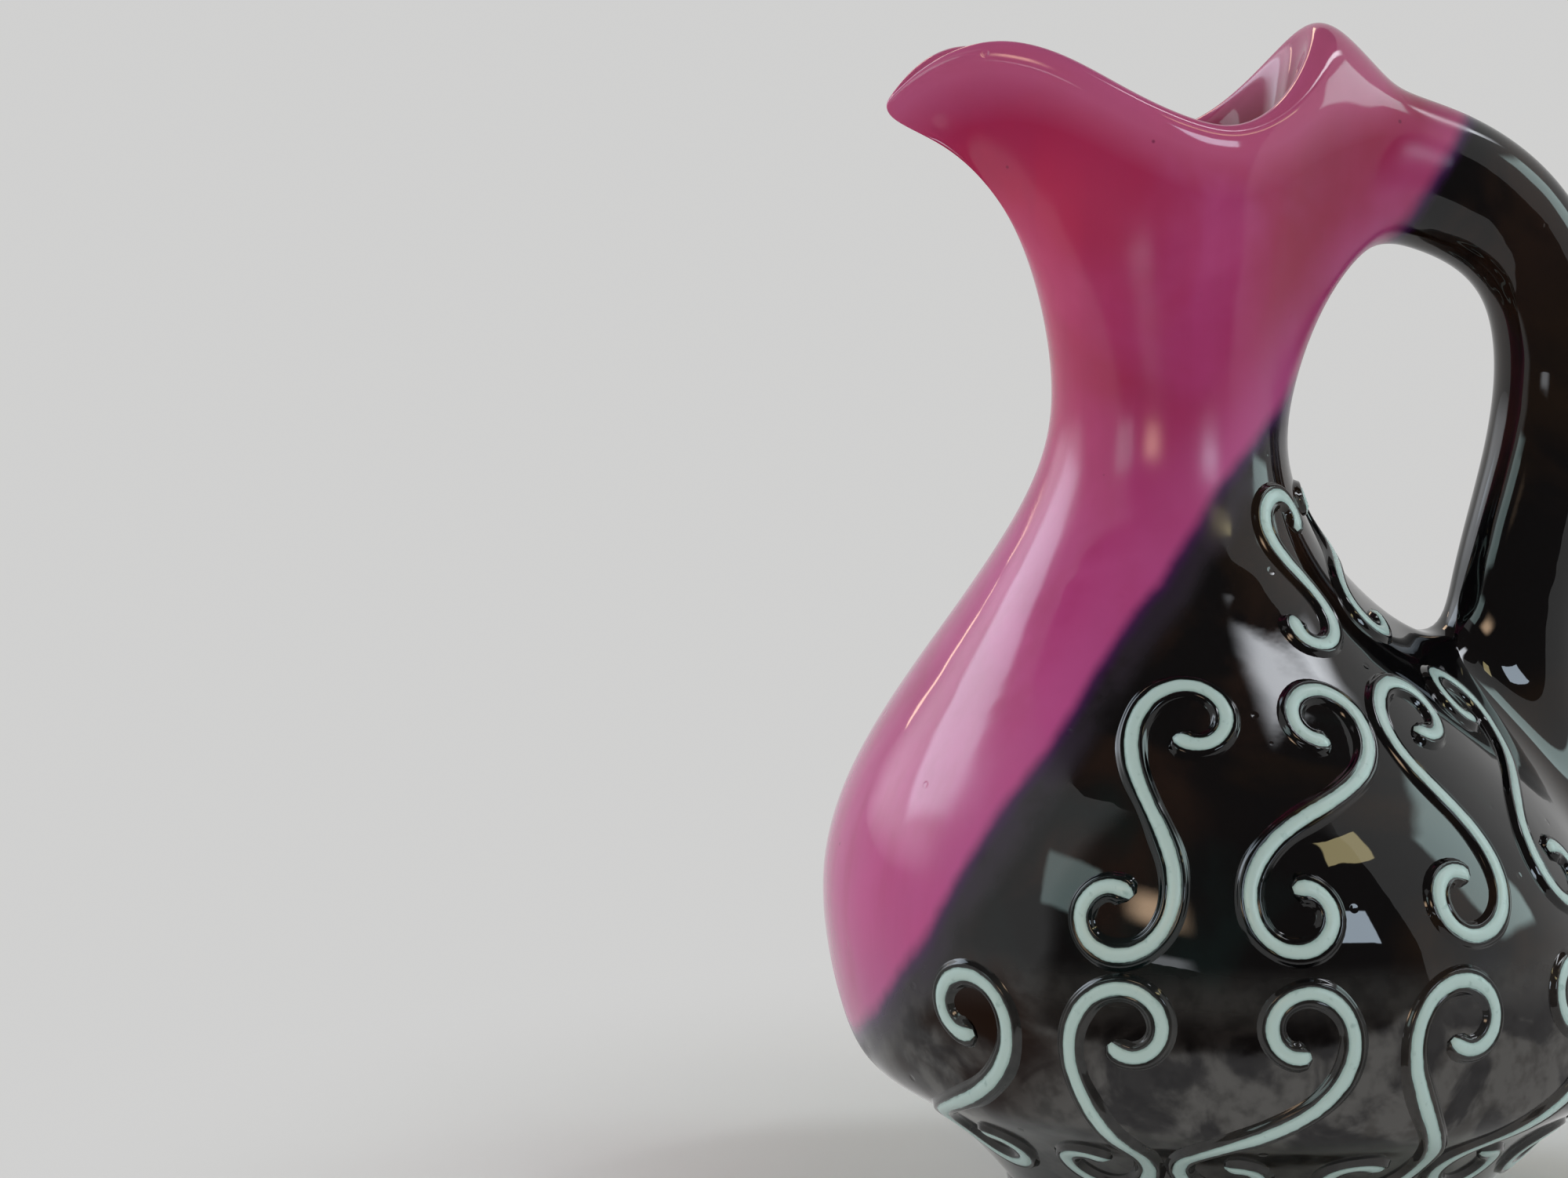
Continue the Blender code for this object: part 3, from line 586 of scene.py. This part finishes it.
# Painted shade: the inside of the jug is painted a dark crimson for the shade in the hollow.
pink = tint(tree, pink, PINK_SHADED_INSIDE, inner_face, 0.9)
thin = put(tree, "ShaderNodeAttribute", attribute_name="lip").outputs["Fac"]
pink = tint(tree, pink, PINK_LIP, thin, 0.55)
dots = put(tree, "ShaderNodeTexVoronoi", {"Vector": place, "Scale": 62}).outputs["Distance"]
pink = tint(tree, pink, SPECK, fade(tree, dots, 0.032, 0.016), 0.6)
pink = blend_colours(tree, plum, pink, PLUM_EDGE)

black = put(tree, "ShaderNodeGroup", {"Haze": hazy, "Film": 1.0}, node_tree=lustre)
veiled = blend_colours(tree, burnt, black.outputs["Color"], BURNT_BROWN)
veiled = blend_colours(tree, hazy, veiled, LILAC_HAZE)
tree.links.new(blend_colours(tree, dark, pink, veiled), shader.inputs["Base Color"])
uneven = cloud(tree, place, 20, 3)
pink_rough = calc(tree, "MULTIPLY_ADD", uneven, PINK_UNEVENNESS, PINK_ROUGHNESS)
waist = overlap(tree, fade(tree, z, *WAIST_RISE), fade(tree, z, *WAIST_TOP))
pink_rough = calc(tree, "MULTIPLY_ADD", waist, WAIST_DULLNESS, pink_rough)
pink_rough = calc(tree, "MULTIPLY_ADD", fade(tree, past, *DULL_REACH), EDGE_DULLNESS, pink_rough)
pink_rough = calc(tree, "MINIMUM", pink_rough, DULLEST_PINK)
roughs = {0: dark, 2: pink_rough, 3: black.outputs["Roughness"]}
tree.links.new(put(tree, "ShaderNodeMix", roughs).outputs[0], shader.inputs["Roughness"])
tree.links.new(overlap(tree, dark, black.outputs["Metallic"]), shader.inputs["Metallic"])

glazed_wall = finish_mesh(bm, "glazed_wall", dipped)
smooth = glazed_wall.modifiers.new("smooth_wall", "SUBSURF")
smooth.levels = smooth.render_levels = SMOOTHING_LEVELS
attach(glazed_wall, "root")
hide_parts("belly", "neck", "mouth_and_spout", "handle")


# Trailed scrolls. Each is one bead of pale slip squeezed from a trailer onto the leather-hard wall. The
# black glaze draws back from its crest and heaps up against its flanks, so the line stays pale between
# two dark banks.
SCROLL_LEAN = math.radians(72)
# Each row's height, first angle, step, numbers on the two sides, arm's length and curl's radius
SCROLL_ROWS = (
    (36.5 * MM, math.radians(15.5), math.radians(23), (7, 6), 58 * MM, 4.8 * MM),
    (93 * MM, math.radians(38), math.radians(26), (4, 3), 56 * MM, 4.7 * MM),
    (133 * MM, math.radians(29), math.radians(33), (2, 1), 30 * MM, 3.4 * MM),
)
BEAD_STEP = 1.0 * MM
BEAD_HALF_WIDTH = 3.0 * MM
BEAD_HEIGHT = 1.3 * MM
BEAD_SEAT = 0.1 * MM
BEAD_ROOT = -0.3
BEAD_HALF = (
    (1.00, 0.00),
    (0.90, 0.12),
    (0.78, 0.42),
    (0.67, 0.76),
    (0.57, 0.88),
    (0.48, 0.82),
    (0.41, 0.72),
    (0.30, 0.88),
    (0.15, 0.97),
)
BEAD_OUTLINE = [(-u, h) for u, h in BEAD_HALF] + [(0, 1)] + list(BEAD_HALF[::-1])
END_BLOB = 6 * MM
END_SWELL = 0.18
HAND_WOBBLE = 0.16
HAND_WOBBLES_PER_METRE = 90
BANK_WOBBLE = 0.22
BANK_WOBBLES_PER_METRE = 140
BANKS_APART = 9
SEED_SPREAD = 100
LINE_SHARE = 0.41
LINE_BLUR = 0.035
LINE_RAGGEDNESS = 0.08
FULL_MINT_SHARE = 0.55
SLIP_ROUGHNESS = 0.32
MINT = (0.53, 0.68, 0.66, 1)
MINT_THIN = (0.36, 0.51, 0.49, 1)


def walk(tree, start, normal, heading, length, curl):
    """Points every step along the wall, on a path that curls ever tighter towards its end."""
    steps = round(length / BEAD_STEP)
    points = []
    point = start
    for i in range(steps):
        turn = curl * (i + 0.5) / steps * BEAD_STEP
        heading = (heading - normal * heading.dot(normal)).normalized()
        heading = heading * math.cos(turn) + normal.cross(heading) * math.sin(turn)
        point, normal, _, _ = tree.find_nearest(point + heading * BEAD_STEP)
        points.append((point, normal))
    return points


def scroll_path(tree, angle, height, heading, length, curl):
    outward = Vector((math.cos(angle), math.sin(angle), 0))
    centre = Vector((axis_x(height), 0, height))
    start, normal, _, _ = tree.ray_cast(centre + outward * 3 * BELLY_RADIUS, -outward)
    level = Vector((0, 0, 1)).cross(normal).normalized()
    direction = level * math.cos(heading) + normal.cross(level) * math.sin(heading)
    ahead = walk(tree, start, normal, direction, length, curl)
    behind = walk(tree, start, normal, -direction, length, curl)
    return behind[::-1] + [(start, normal)] + ahead


def scroll_layout():
    """Every scroll's angle, height, heading, arm and curl. Neighbours curl opposite ways."""
    for height, first, step, counts, arm, radius in SCROLL_ROWS:
        for side, count in zip((-1, 1), counts):
            lean = math.pi / 2 + side * (math.pi / 2 - SCROLL_LEAN)
            for i in range(count):
                turn = 1 if i % 2 else -1
                heading = lean - side * turn * math.pi / 4
                yield (first + step * i) * side, height, heading, arm, side * turn / radius


trailed, tree, shader = new_glaze("trailed_slip")
place = put(tree, "ShaderNodeTexCoord").outputs["Object"]
across = put(tree, "ShaderNodeAttribute", attribute_name="across").outputs["Fac"]
ragged = calc(tree, "MULTIPLY_ADD", cloud(tree, place, 330, 3), 2 * LINE_RAGGEDNESS, -LINE_RAGGEDNESS)
edge = calc(tree, "ADD", across, ragged)
crest = fade(tree, edge, LINE_SHARE + LINE_BLUR, LINE_SHARE - LINE_BLUR)
body = fade(tree, edge, LINE_SHARE, LINE_SHARE * FULL_MINT_SHARE)
mint = blend_colours(tree, body, MINT_THIN, MINT)
mint = blend_colours(tree, fade(tree, cloud(tree, place, 520, 3), 0.60, 0.78), mint, MINT_THIN)
black = put(tree, "ShaderNodeGroup", {"Haze": 0.0, "Film": 0.35}, node_tree=lustre)
tree.links.new(blend_colours(tree, crest, black.outputs["Color"], mint), shader.inputs["Base Color"])
roughs = {0: crest, 2: black.outputs["Roughness"], 3: SLIP_ROUGHNESS}
tree.links.new(put(tree, "ShaderNodeMix", roughs).outputs[0], shader.inputs["Roughness"])
free = calc(tree, "SUBTRACT", 1, crest)
tree.links.new(overlap(tree, free, black.outputs["Metallic"]), shader.inputs["Metallic"])


def add_bead(name, path, tree):
    """A bead swept along a path on the wall. Its sides feather into the wall, and its ends are blobs."""
    section = BEAD_OUTLINE + [(1, BEAD_ROOT), (-1, BEAD_ROOT)]
    bm = bmesh.new()
    spoke = bm.verts.layers.int.new("spoke")
    across = bm.verts.layers.float.new("across")
    last = len(path) - 1
    seed = Vector(path[last // 2][0]) * SEED_SPREAD

    def size_at(i):
        from_end = min(i, last - i) * BEAD_STEP
        swell = 1 + END_SWELL * (1 - ease(from_end / END_BLOB))
        draw = Vector((0, 0, i * BEAD_STEP * HAND_WOBBLES_PER_METRE))
        wobble = 1 + HAND_WOBBLE * noise.noise(seed + draw)
        nose = min(1.0, (from_end + BEAD_STEP / 4) / BEAD_HALF_WIDTH)
        return swell * wobble * math.sqrt(1 - (1 - nose) ** 2)

    def bead_point(number, i):
        point, normal = path[i]
        along = path[min(i + 1, last)][0] - path[max(i - 1, 0)][0]
        side = normal.cross(along).normalized()
        size = size_at(i)
        share, rise = section[number]
        lift = BEAD_HEIGHT * size * rise - BEAD_SEAT
        draw = Vector((0, math.copysign(BANKS_APART, share), i * BEAD_STEP * BANK_WOBBLES_PER_METRE))
        shake = noise.noise(seed + draw)
        spread = share * (1 + BANK_WOBBLE * shake * max(0.0, abs(share) - LINE_SHARE))
        seat = tree.find_nearest(point + side * (spread * BEAD_HALF_WIDTH * size))[0]
        return seat + normal * lift

    corners = bmesh.ops.create_circle(bm, segments=len(section), radius=BEAD_HALF_WIDTH)["verts"]
    for number, vert in enumerate(corners):
        vert[spoke] = number
        vert[across] = abs(section[number][0])
        vert.co = bead_point(number, 0)
    ring = list({edge for vert in corners for edge in vert.link_edges})
    bmesh.ops.contextual_create(bm, geom=ring)
    for i in range(1, last + 1):
        _, ring = grow_ring(bm, ring, spoke, lambda k: bead_point(k, i))
    bmesh.ops.contextual_create(bm, geom=ring)
    bmesh.ops.recalc_face_normals(bm, faces=bm.faces)
    return finish_mesh(bm, name, trailed)


wall_tree = BVHTree.FromObject(glazed_wall, bpy.context.evaluated_depsgraph_get())
for number, scroll in enumerate(scroll_layout(), 1):
    path = scroll_path(wall_tree, *scroll)
    bead = add_bead(f"trailed_scroll_{number:02d}", path, wall_tree)
    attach(bead, "root")
    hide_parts(f"slip_trail_{number:02d}")


# The studio. A pale floor sweeps up into a backdrop behind and beside the jug, the room in front of the
# table is dim, and soft lights stand where the glaze shows them.
PALE_GREY = (0.635, 0.634, 0.630, 1)
PALE_FLOOR = (0.85, 0.835, 0.81, 1)
ROOM_BROWN = (0.085, 0.072, 0.068, 1)
ROOM_BEARING = math.radians(-4)
TABLE_BEARING = math.radians(-45)
TABLE_EDGE = 0.175
TABLE_EDGE_BLUR = 3 * MM
ROOM_EDGE = (0.42, 0.54)
CAMERA_GLOW = (0.08, 0.26)
MIRROR_GLOW = (0.05, 0.09)
SWEEP_RADIUS = 2.2
SWEEP_BEND = 0.9
SWEEP_HEIGHT = 2.6
SWEEP_STEPS = 96
SWEEP_BEND_STEPS = 12
LIGHT_CENTRE = Vector((0, 0, 0.12))
COOL = (0.90, 0.94, 1.0)
SKY = (0.72, 0.86, 1.0)
WARM = (1.0, 0.70, 0.46)
GOLD = (1.0, 0.86, 0.45)
TEAL = (0.72, 0.98, 0.97)

backdrop_paint = bpy.data.materials.new("backdrop_paint")
backdrop_paint.use_nodes = True
tree = backdrop_paint.node_tree
shader = tree.nodes["Principled BSDF"]
shader.inputs["Base Color"].default_value = PALE_FLOOR
shader.inputs["Roughness"].default_value = 0.9
shader.inputs["Specular IOR Level"].default_value = 0.1
ray = put(tree, "ShaderNodeLightPath").outputs
mirrored = calc(tree, "ADD", ray["Is Glossy Ray"], ray["Is Transmission Ray"])
place = put(tree, "ShaderNodeTexCoord").outputs["Object"]
away = put(tree, "ShaderNodeVectorMath", {0: place}, operation="LENGTH").outputs["Value"]
far_off = overlap(tree, fade(tree, away, *CAMERA_GLOW), ray["Is Camera Ray"])
beyond_foot = overlap(tree, fade(tree, away, *MIRROR_GLOW), calc(tree, "MINIMUM", 1, mirrored))
seen = calc(tree, "MAXIMUM", far_off, beyond_foot)


def reach_towards(tree, vector, bearing):
    """How far a vector goes towards a bearing, which is 0 in front of the jug and rises to its right."""
    inputs = {0: vector, 1: (math.sin(bearing), -math.cos(bearing), 0)}
    return put(tree, "ShaderNodeVectorMath", inputs, operation="DOT_PRODUCT").outputs["Value"]


facing = put(tree, "ShaderNodeVectorMath", {0: place}, operation="NORMALIZE").outputs[0]
ahead = reach_towards(tree, facing, ROOM_BEARING)
outside = reach_towards(tree, place, TABLE_BEARING)
off_table = fade(tree, outside, TABLE_EDGE - TABLE_EDGE_BLUR, TABLE_EDGE + TABLE_EDGE_BLUR)
not_camera = calc(tree, "SUBTRACT", 1, ray["Is Camera Ray"])
dim = overlap(tree, fade(tree, ahead, *ROOM_EDGE), off_table, not_camera)
backdrop_colour = blend_colours(tree, dim, PALE_GREY, ROOM_BROWN)
glow = put(tree, "ShaderNodeEmission", {"Color": backdrop_colour}).outputs[0]
lit = put(tree, "ShaderNodeMixShader", {0: seen, 1: shader.outputs[0], 2: glow})
tree.links.new(lit.outputs[0], tree.nodes["Material Output"].inputs["Surface"])

bm = bmesh.new()
bend = [i * math.pi / 2 / SWEEP_BEND_STEPS for i in range(SWEEP_BEND_STEPS + 1)]
outline = [Vector((0, 0, 0))]
for turn in bend:
    out = SWEEP_RADIUS - SWEEP_BEND + SWEEP_BEND * math.sin(turn)
    outline.append(Vector((out, 0, SWEEP_BEND * (1 - math.cos(turn)))))
outline.append(Vector((SWEEP_RADIUS, 0, SWEEP_HEIGHT)))
corners = [bm.verts.new(point) for point in outline]
sides = [bm.edges.new(pair) for pair in zip(corners, corners[1:])]
around = {"cent": (0, 0, 0), "axis": (0, 0, 1), "angle": 2 * math.pi}
bmesh.ops.spin(bm, geom=corners + sides, steps=SWEEP_STEPS, use_merge=True, **around)
bmesh.ops.remove_doubles(bm, verts=bm.verts, dist=WELD)
bmesh.ops.recalc_face_normals(bm, faces=bm.faces)
studio_sweep = finish_mesh(bm, "studio_sweep", backdrop_paint)

world = bpy.data.worlds.new("dim_room")
bpy.context.scene.world = world
world.use_nodes = True
world.node_tree.nodes["Background"].inputs["Color"].default_value = ROOM_BROWN


def add_light(name, bearing, elevation, distance, width, height, colour, radiance, blur, roll=0):
    """A rectangular light that faces the jug and is dimmer towards its edges. Angles are in degrees."""
    data = bpy.data.lights.new(name, "AREA")
    data.shape = "RECTANGLE"
    data.size = width
    data.size_y = height
    data.color = colour
    data.energy = radiance * math.pi * width * height
    data.use_nodes = True
    tree = data.node_tree
    spot = put(tree, "ShaderNodeNewGeometry").outputs["Parametric"]
    u, v, _ = put(tree, "ShaderNodeSeparateXYZ", {0: spot}).outputs
    edges = [fade(tree, value, 0, blur) for value in (u, v)]
    edges += [fade(tree, value, 1, 1 - blur) for value in (u, v)]
    tree.links.new(overlap(tree, *edges), tree.nodes["Emission"].inputs["Strength"])
    light = bpy.data.objects.new(name, data)
    a, e = math.radians(bearing), math.radians(elevation)
    away = Vector((math.sin(a) * math.cos(e), -math.cos(a) * math.cos(e), math.sin(e)))
    light.location = LIGHT_CENTRE + away * distance
    turned = Quaternion((0, 0, 1), math.radians(roll))
    light.rotation_euler = (away.to_track_quat("Z", "Y") @ turned).to_euler()
    bpy.context.collection.objects.link(light)


# Each light's bearing, elevation, distance, width, height, colour, radiance, blur and roll
add_light("left_wall", -130, 24, 1.8, 1.8, 1.5, COOL, 1.8, 0.30)
add_light("left_panel", -61, 21, 1.7, 0.52, 0.62, TEAL, 2.2, 0.12)
add_light("left_window", -129, 36, 1.6, 0.70, 1.30, SKY, 3.1, 0.16, 33)
add_light("left_strip", -153, 19, 1.6, 0.04, 0.20, WARM, 6, 0.1)
add_light("front_window", 22, 21, 1.6, 0.40, 0.34, SKY, 8, 0.04)
add_light("front_panel", 36, 42, 1.6, 0.42, 0.12, GOLD, 5, 0.05)
add_light("right_window", 73, 55, 1.6, 1.2, 0.18, COOL, 10, 0.30, -34)
add_light("right_wall", 79, 25, 1.7, 0.62, 0.9, TEAL, 3.1, 0.12)
add_light("front_lamp", -34, 20, 1.6, 0.62, 0.50, WARM, 8, 0.45)
add_light("front_screen", -34, -1, 1.6, 0.60, 0.22, COOL, 2.6, 0.40)
add_light("back_lamp", -171, 43, 1.6, 0.60, 0.20, WARM, 6, 0.10)

CAMERA_PLACE = Vector((-0.2689, -0.6538, 0.197))
CAMERA_TILT = math.radians(84.3)
CAMERA_TURN = math.radians(-14.8)
CAMERA_LENS = 81.36
camera_data = bpy.data.cameras.new("camera")
camera_data.sensor_width = 36
camera_data.lens = CAMERA_LENS
camera_data.clip_start = 0.01
camera = bpy.data.objects.new("camera", camera_data)
camera.location = CAMERA_PLACE + Vector((FOOT_X, 0, 0))
camera.rotation_euler = (CAMERA_TILT, 0, CAMERA_TURN)
bpy.context.collection.objects.link(camera)
bpy.context.scene.camera = camera
bpy.context.scene.view_settings.view_transform = "Standard"
